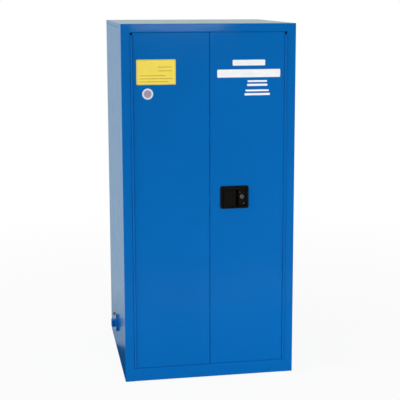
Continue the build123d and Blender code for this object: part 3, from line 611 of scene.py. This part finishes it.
def join_copies(shapes, matrices):
    """Joins shapes into one, each at its own place."""
    joined = bmesh.new()
    for shape, matrix in zip(shapes, matrices):
        bmesh.ops.transform(shape, matrix=matrix, verts=shape.verts)
        mesh = bpy.data.meshes.new("copy")
        shape.to_mesh(mesh)
        shape.free()
        joined.from_mesh(mesh)
        bpy.data.meshes.remove(mesh)
    return joined


def printed_bars(bars, thickness, corner, y):
    """Thin bars on a door, each with its middle, level, width and height."""
    shapes = []
    for x, z, width, height in bars:
        bar = flat_plate(width, height, min(corner, height * BAR_CORNER))
        thicken(bar, thickness)
        shapes.append(bar)
    return join_copies(shapes, [facing_front(x, y, z) for x, z, width, height in bars])


def rivet_head(diameter, height):
    """A domed head that stands on XY."""
    head = bmesh.new()
    bmesh.ops.create_uvsphere(head, u_segments=20, v_segments=12, radius=diameter / 2)
    everything = head.verts[:] + head.edges[:] + head.faces[:]
    bmesh.ops.bisect_plane(head, geom=everything, plane_co=(0, 0, 0), plane_no=(0, 0, 1), clear_inner=True)
    bmesh.ops.scale(head, vec=(1.0, 1.0, 2.0 * height / diameter), verts=head.verts)
    bmesh.ops.contextual_create(head, geom=[e for e in head.edges if e.is_boundary])
    bmesh.ops.recalc_face_normals(head, faces=head.faces[:])
    return head


def box_strip(low, high, rounding):
    """A strip between two corners, with its long edges rounded."""
    strip = bmesh.new()
    size = Vector(high) - Vector(low)
    middle = (Vector(high) + Vector(low)) / 2
    bmesh.ops.create_cube(strip, size=1.0)
    bmesh.ops.scale(strip, vec=size, verts=strip.verts)
    bmesh.ops.translate(strip, vec=middle, verts=strip.verts)
    bmesh.ops.bevel(
        strip, geom=strip.edges[:], offset=rounding, affect="EDGES", segments=2, profile=0.5, material=-1
    )
    return strip


class CABINET_OT_finish_steelwork(bpy.types.Operator):
    """Gives every piece of the frame the finish of its slot"""

    bl_idname = "cabinet.finish_steelwork"
    bl_label = "Finish the steelwork"

    def execute(self, context):
        for part in frame["record"]["subparts"]:
            slot = OWN_PAINT.get(part["node"], part["material_slot"])
            mesh = frame["nodes"][part["node"]].data
            mesh.materials.clear()
            mesh.materials.append(finish(slot))
        return {"FINISHED"}


class CABINET_OT_add_yellow_label(bpy.types.Operator):
    """Adds the blank yellow label with its border and rules to the left door"""

    bl_idname = "cabinet.add_yellow_label"
    bl_label = "Add the yellow label"

    # Each rule's start, level and length, as shares of the label's width and height
    rules = (
        (0.54, 0.70, 0.36),
        (0.54, 0.55, 0.36),
        (0.08, 0.36, 0.66),
        (0.08, 0.24, 0.84),
        (0.08, 0.12, 0.74),
    )

    def execute(self, context):
        s = context.scene.cabinet_labels
        f = context.scene.cabinet_finishes
        ink = vinyl("label_ink", f.label_ink)
        card = flat_plate(s.card_width, s.card_height, s.corner)
        field = card.faces[:][0]
        inset_face(card, field, s.card_margin)
        for face in inset_face(card, field, s.border):
            face.material_index = 1
        thicken(card, s.thickness)
        middle = facing_front(s.card_left + s.card_width / 2, door_front, s.card_low + s.card_height / 2)
        bmesh.ops.transform(card, matrix=middle, verts=card.verts)
        new_piece("yellow_label", card, "left_door", vinyl("yellow_vinyl", f.label_yellow), ink)
        bars = []
        for start, level, reach in self.rules:
            x = s.card_left + (start + reach / 2) * s.card_width
            bars.append((x, s.card_low + level * s.card_height, reach * s.card_width, s.rule))
        rules = printed_bars(bars, s.ink, s.corner, door_front - s.thickness)
        new_piece("label_rules", rules, "left_door", ink)
        return {"FINISHED"}


class CABINET_OT_add_round_label(bpy.types.Operator):
    """Adds the blank round label to the left door"""

    bl_idname = "cabinet.add_round_label"
    bl_label = "Add the round label"

    def execute(self, context):
        s = context.scene.cabinet_labels
        f = context.scene.cabinet_finishes
        disc = bmesh.new()
        bmesh.ops.create_circle(disc, cap_ends=True, segments=64, radius=s.disc_diameter / 2)
        field = disc.faces[:][0]
        inset_face(disc, field, s.disc_rim)
        field.material_index = 1
        thicken(disc, s.thickness)
        bmesh.ops.transform(disc, matrix=facing_front(s.disc_x, door_front, s.disc_z), verts=disc.verts)
        rim = vinyl("pale_rim_vinyl", f.disc_rim)
        new_piece("round_label", disc, "left_door", rim, vinyl("tinted_vinyl", f.disc_tint))
        return {"FINISHED"}


class CABINET_OT_add_white_stripes(bpy.types.Operator):
    """Adds the plain white stripes to the right door"""

    bl_idname = "cabinet.add_white_stripes"
    bl_label = "Add the white stripes"

    # Each stripe's middle, level, width and height
    stripes = (
        (0.1795, 1.4758, 0.150, 0.026),
        (0.1795, 1.4279, 0.290, 0.036),
        (0.2185, 1.3921, 0.090, 0.008),
        (0.2185, 1.3751, 0.094, 0.010),
        (0.2185, 1.3501, 0.108, 0.008),
        (0.2185, 1.3331, 0.118, 0.010),
    )

    def execute(self, context):
        s = context.scene.cabinet_labels
        f = context.scene.cabinet_finishes
        stripes = printed_bars(self.stripes, s.thickness, s.corner, door_front)
        new_piece("white_stripes", stripes, "right_door", vinyl("white_vinyl", f.label_white))
        return {"FINISHED"}


class CABINET_OT_add_wall_rivets(bpy.types.Operator):
    """Adds the rows of painted rivets under the roof"""

    bl_idname = "cabinet.add_wall_rivets"
    bl_label = "Add the wall rivets"

    def execute(self, context):
        s = context.scene.cabinet_fasteners
        level = roof_high.z - s.rivet_drop
        along = [wall_low.y + s.rivet_start + s.rivet_pitch * i for i in range(s.rivet_count)]
        for name, side in (("left_wall_rivets", -1), ("right_wall_rivets", 1)):
            turn = Matrix.Rotation(side * radians(90), 4, "Y")
            places = [Matrix.Translation((side * wall_high.x, y, level)) @ turn for y in along]
            heads = [rivet_head(s.rivet_diameter, s.rivet_height) for y in along]
            row = join_copies(heads, places)
            new_piece(name, row, "cabinet", finish("blue_paint"), slot="blue_paint", smooth=True)
        return {"FINISHED"}


class CABINET_OT_add_latch_rivets(bpy.types.Operator):
    """Adds the two rivets beside the lock"""

    bl_idname = "cabinet.add_latch_rivets"
    bl_label = "Add the latch rivets"

    # Each rivet's place from the lock's middle
    places = ((0.010, -0.032), (-0.009, 0.020))

    def execute(self, context):
        s = context.scene.cabinet_fasteners
        ledge = latch_low.y + s.ledge_depth
        heads = [rivet_head(s.latch_rivet, s.latch_rivet_height) for pair in self.places]
        spots = [facing_front(lock_middle.x + x, ledge, lock_middle.z + z) for x, z in self.places]
        rivets = join_copies(heads, spots)
        steel = finish("plain_steel")
        new_piece("latch_rivets", rivets, "right_door", steel, slot="plain_steel", smooth=True)
        return {"FINISHED"}


class CABINET_OT_add_paddle_lip(bpy.types.Operator):
    """Adds the rounded lip along the paddle's free edge"""

    bl_idname = "cabinet.add_paddle_lip"
    bl_label = "Add the paddle lip"

    def execute(self, context):
        s = context.scene.cabinet_fasteners
        low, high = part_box("paddle")
        start = (high.x - s.lip_width, low.y - s.lip_height, low.z + s.lip_inset)
        end = (high.x, low.y + s.lip_height, high.z - s.lip_inset)
        lip = box_strip(start, end, s.lip_height * s.lip_rounding)
        new_piece("paddle_lip", lip, "paddle", finish("latch_black"), slot="latch_black", smooth=True)
        return {"FINISHED"}


class CABINET_OT_add_vent_welds(bpy.types.Operator):
    """Adds the painted weld bead round each vent"""

    bl_idname = "cabinet.add_vent_welds"
    bl_label = "Add the vent welds"

    def execute(self, context):
        s = context.scene.cabinet_fasteners
        for name, side in (("left", -1), ("right", 1)):
            low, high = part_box(f"{name}_vent_duct")
            middle = (low + high) / 2
            bead = bmesh.new()
            bmesh.ops.create_circle(bead, segments=10, radius=s.weld_radius)
            bmesh.ops.translate(bead, vec=(0.0, (high.y - low.y) / 2, 0.0), verts=bead.verts)
            bmesh.ops.spin(
                bead, geom=bead.verts[:] + bead.edges[:], axis=(1, 0, 0), cent=(0, 0, 0),
                angle=2 * pi, steps=72, use_merge=True,
            )
            bmesh.ops.remove_doubles(bead, verts=bead.verts, dist=s.weld_radius * WELD_MERGE)
            bmesh.ops.recalc_face_normals(bead, faces=bead.faces[:])
            spot = (side * wall_high.x, middle.y, middle.z)
            bmesh.ops.translate(bead, vec=spot, verts=bead.verts)
            paint = finish("blue_paint")
            new_piece(f"{name}_vent_weld", bead, "cabinet", paint, slot="blue_paint", smooth=True)
        return {"FINISHED"}


class CABINET_OT_add_roof_seams(bpy.types.Operator):
    """Adds the sealed seams along the sides and rear of the roof"""

    bl_idname = "cabinet.add_roof_seams"
    bl_label = "Add the roof seams"

    def execute(self, context):
        s = context.scene.cabinet_fasteners
        top = roof_high.z - s.seam_drop
        bottom = top - s.seam_depth
        inner = roof_high.x - s.seam_width
        rear = roof_high.y - s.seam_width
        runs = (
            ((-roof_high.x, wall_low.y + s.seam_width, bottom), (-inner, roof_high.y, top)),
            ((inner, wall_low.y + s.seam_width, bottom), (roof_high.x, roof_high.y, top)),
            ((-inner, rear, bottom), (inner, roof_high.y, top)),
        )
        strips = [box_strip(low, high, s.seam_depth * STRIP_ROUNDING) for low, high in runs]
        seams = join_copies(strips, [Matrix.Identity(4) for run in runs])
        new_piece("roof_seams", seams, "cabinet", finish("blue_paint"), slot="blue_paint")
        return {"FINISHED"}


class CABINET_OT_add_frame_beads(bpy.types.Operator):
    """Adds the painted beads on the header and the sill, above and below the doors"""

    bl_idname = "cabinet.add_frame_beads"
    bl_label = "Add the frame beads"

    def execute(self, context):
        s = context.scene.cabinet_fasteners
        door_low, door_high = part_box("left_door_skin")
        left, right = door_low.x, -door_low.x
        front = door_front + s.bead_inset
        rear = front + s.bead_depth
        header = door_high.z + s.door_gap
        sill = door_low.z - s.door_gap
        runs = (
            ((left, front, header - s.bead_height), (right, rear, header)),
            ((left, front, sill), (right, rear, sill + s.bead_height)),
        )
        strips = [box_strip(low, high, s.bead_height * STRIP_ROUNDING) for low, high in runs]
        beads = join_copies(strips, [Matrix.Identity(4) for run in runs])
        new_piece("frame_beads", beads, "cabinet", finish("blue_paint"), slot="blue_paint")
        return {"FINISHED"}


class CABINET_OT_set_stage(bpy.types.Operator):
    """Sets up the floor, the lamps, the background and the camera"""

    bl_idname = "cabinet.set_stage"
    bl_label = "Set the stage"

    # The lamps that gloss reflects, while the others only give light
    mirrored_lamps = ("glint", "strip")

    def execute(self, context):
        s = context.scene.cabinet_stage
        self.lay_floor(context, s)
        self.light_room(context, s)
        middle = Vector((0.0, 0.0, roof_high.z / 2))
        header = Vector((0.0, door_front, roof_high.z))
        sill = Vector((0.0, door_front, s.bounce_place[2]))
        targets = {"key": middle, "fill": middle, "bounce": sill, "glint": lock_middle, "strip": header}
        for name, target in targets.items():
            lamp = self.hang_lamp(context, s, name, target)
            lamp.visible_glossy = name in self.mirrored_lamps
        self.place_camera(context, s)
        context.scene.view_settings.view_transform = "Standard"
        return {"FINISHED"}

    def lay_floor(self, context, s):
        sheet = bmesh.new()
        bmesh.ops.create_grid(sheet, x_segments=2, y_segments=2, size=s.floor_size / 2)
        mesh = bpy.data.meshes.new("studio_floor")
        sheet.to_mesh(mesh)
        sheet.free()
        floor = bpy.data.objects.new("studio_floor", mesh)
        context.scene.collection.objects.link(floor)
        mesh.materials.append(self.floor_paint(s))

    def floor_paint(self, s):
        """A pale floor that is near white to the camera, and shows gloss a dark front and a pale back."""
        paint = new_finish("pale_floor", s.floor_colour, roughness=0.9)
        shader_of(paint).inputs["Specular IOR Level"].default_value = 0.0
        tree = paint.node_tree
        path = tree.nodes.new("ShaderNodeLightPath")
        source = tree.nodes.new("ShaderNodeTexCoord")
        reach = tree.nodes.new("ShaderNodeVectorMath")
        reach.operation = "LENGTH"
        tree.links.new(source.outputs["Object"], reach.inputs["Vector"])
        distance = reach.outputs["Value"]
        dusk_end = wall_high.x + s.dusk_margin
        behind = spread(tree, backwardness(tree, "Object"), dusk_end, dusk_end + s.dusk_fade, 0.0, 1.0)
        glow = mix_colours(tree, behind, s.front_dusk, s.back_glow)
        near_glow = tree.nodes.new("ShaderNodeBsdfDiffuse")
        far_glow = tree.nodes.new("ShaderNodeEmission")
        tree.links.new(glow, near_glow.inputs["Color"])
        tree.links.new(glow, far_glow.inputs["Color"])
        farness = spread(tree, distance, s.mirror_near, s.mirror_far, 0.0, 1.0)
        mirrored = mix_shaders(tree, farness, near_glow.outputs["BSDF"], far_glow.outputs["Emission"])
        plain = shader_of(paint).outputs["BSDF"]
        lit = mix_shaders(tree, path.outputs["Is Glossy Ray"], plain, mirrored)
        whiteness = spread(tree, distance, s.floor_near, s.floor_reach, s.floor_white, 1.0)
        shown = math_node(tree, "MULTIPLY", seen_directly(tree, path), whiteness)
        white = tree.nodes.new("ShaderNodeEmission")
        seen = mix_shaders(tree, shown, lit, white.outputs["Emission"])
        tree.links.new(seen, tree.nodes["Material Output"].inputs["Surface"])
        return paint

    def light_room(self, context, s):
        """A room that is white to the camera, and shows gloss a dark front and a pale back."""
        world = bpy.data.worlds.new("white_studio")
        world.use_nodes = True
        context.scene.world = world
        tree = world.node_tree
        white = (1.0, 1.0, 1.0, 1.0)
        lit = tree.nodes["Background"]
        lit.inputs["Color"].default_value = white
        lit.inputs["Strength"].default_value = s.daylight
        seen = add_node(tree, "ShaderNodeBackground", Color=white, Strength=1.0)
        mirrored = add_node(tree, "ShaderNodeBackground", Strength=1.0)
        path = tree.nodes.new("ShaderNodeLightPath")
        behind = spread(tree, backwardness(tree, "Generated"), s.room_dusk, s.room_glow, 0.0, 1.0)
        glow = mix_colours(tree, behind, s.front_dusk, s.back_glow)
        tree.links.new(glow, mirrored.inputs["Color"])
        room = mix_shaders(
            tree, path.outputs["Is Glossy Ray"], lit.outputs["Background"], mirrored.outputs["Background"]
        )
        whole = mix_shaders(tree, seen_directly(tree, path), room, seen.outputs["Background"])
        tree.links.new(whole, tree.nodes["World Output"].inputs["Surface"])

    def hang_lamp(self, context, s, name, target):
        """Hangs the lamp whose place, size and power the stage keeps under its name."""
        spot = Vector(getattr(s, f"{name}_place"))
        data = bpy.data.lights.new(f"{name}_lamp", "AREA")
        data.shape = "RECTANGLE"
        data.size, data.size_y = getattr(s, f"{name}_size")
        data.energy = getattr(s, f"{name}_power")
        lamp = bpy.data.objects.new(f"{name}_lamp", data)
        lamp.location = spot
        lamp.rotation_euler = (target - spot).to_track_quat("-Z", "Y").to_euler()
        context.scene.collection.objects.link(lamp)
        return lamp

    def place_camera(self, context, s):
        data = bpy.data.cameras.new("photo_camera")
        data.sensor_width = s.camera_frame
        data.lens = s.camera_lens
        data.shift_x = s.camera_shift_x
        data.shift_y = s.camera_shift_y
        camera = bpy.data.objects.new("photo_camera", data)
        camera.location = s.camera_place
        camera.rotation_euler = (pi / 2 - s.camera_pitch, 0.0, -s.camera_yaw)
        context.scene.collection.objects.link(camera)
        context.scene.camera = camera


class CABINET_PT_sidebar(bpy.types.Panel):
    """Lists the cabinet's steps and values"""

    bl_label = "Cabinet"
    bl_space_type = "VIEW_3D"
    bl_region_type = "UI"
    bl_category = "Cabinet"

    def draw(self, context):
        for operator in OPERATORS:
            self.layout.operator(operator.bl_idname)
        for group in GROUPS:
            box = self.layout.box()
            box.label(text=group)
            values = getattr(context.scene, group)
            for name in values.bl_rna.properties.keys()[BLENDERS_OWN:]:
                box.prop(values, name)


OPERATORS = (
    CABINET_OT_finish_steelwork,
    CABINET_OT_add_yellow_label,
    CABINET_OT_add_round_label,
    CABINET_OT_add_white_stripes,
    CABINET_OT_add_wall_rivets,
    CABINET_OT_add_latch_rivets,
    CABINET_OT_add_paddle_lip,
    CABINET_OT_add_vent_welds,
    CABINET_OT_add_roof_seams,
    CABINET_OT_add_frame_beads,
    CABINET_OT_set_stage,
)
GROUPS = {
    "cabinet_finishes": CabinetFinishes,
    "cabinet_labels": CabinetLabels,
    "cabinet_fasteners": CabinetFasteners,
    "cabinet_stage": CabinetStage,
}


def register():
    for cls in (*GROUPS.values(), *OPERATORS, CABINET_PT_sidebar):
        bpy.utils.register_class(cls)
    for name, cls in GROUPS.items():
        setattr(bpy.types.Scene, name, PointerProperty(type=cls))


def unregister():
    for name in GROUPS:
        delattr(bpy.types.Scene, name)
    for cls in (CABINET_PT_sidebar, *reversed(OPERATORS), *reversed(GROUPS.values())):
        bpy.utils.unregister_class(cls)


def main():
    register()
    bpy.ops.cabinet.finish_steelwork()
    bpy.ops.cabinet.add_yellow_label()
    bpy.ops.cabinet.add_round_label()
    bpy.ops.cabinet.add_white_stripes()
    bpy.ops.cabinet.add_wall_rivets()
    bpy.ops.cabinet.add_latch_rivets()
    bpy.ops.cabinet.add_paddle_lip()
    bpy.ops.cabinet.add_vent_welds()
    bpy.ops.cabinet.add_roof_seams()
    bpy.ops.cabinet.add_frame_beads()
    bpy.ops.cabinet.set_stage()


if __name__ == "__main__":
    main()
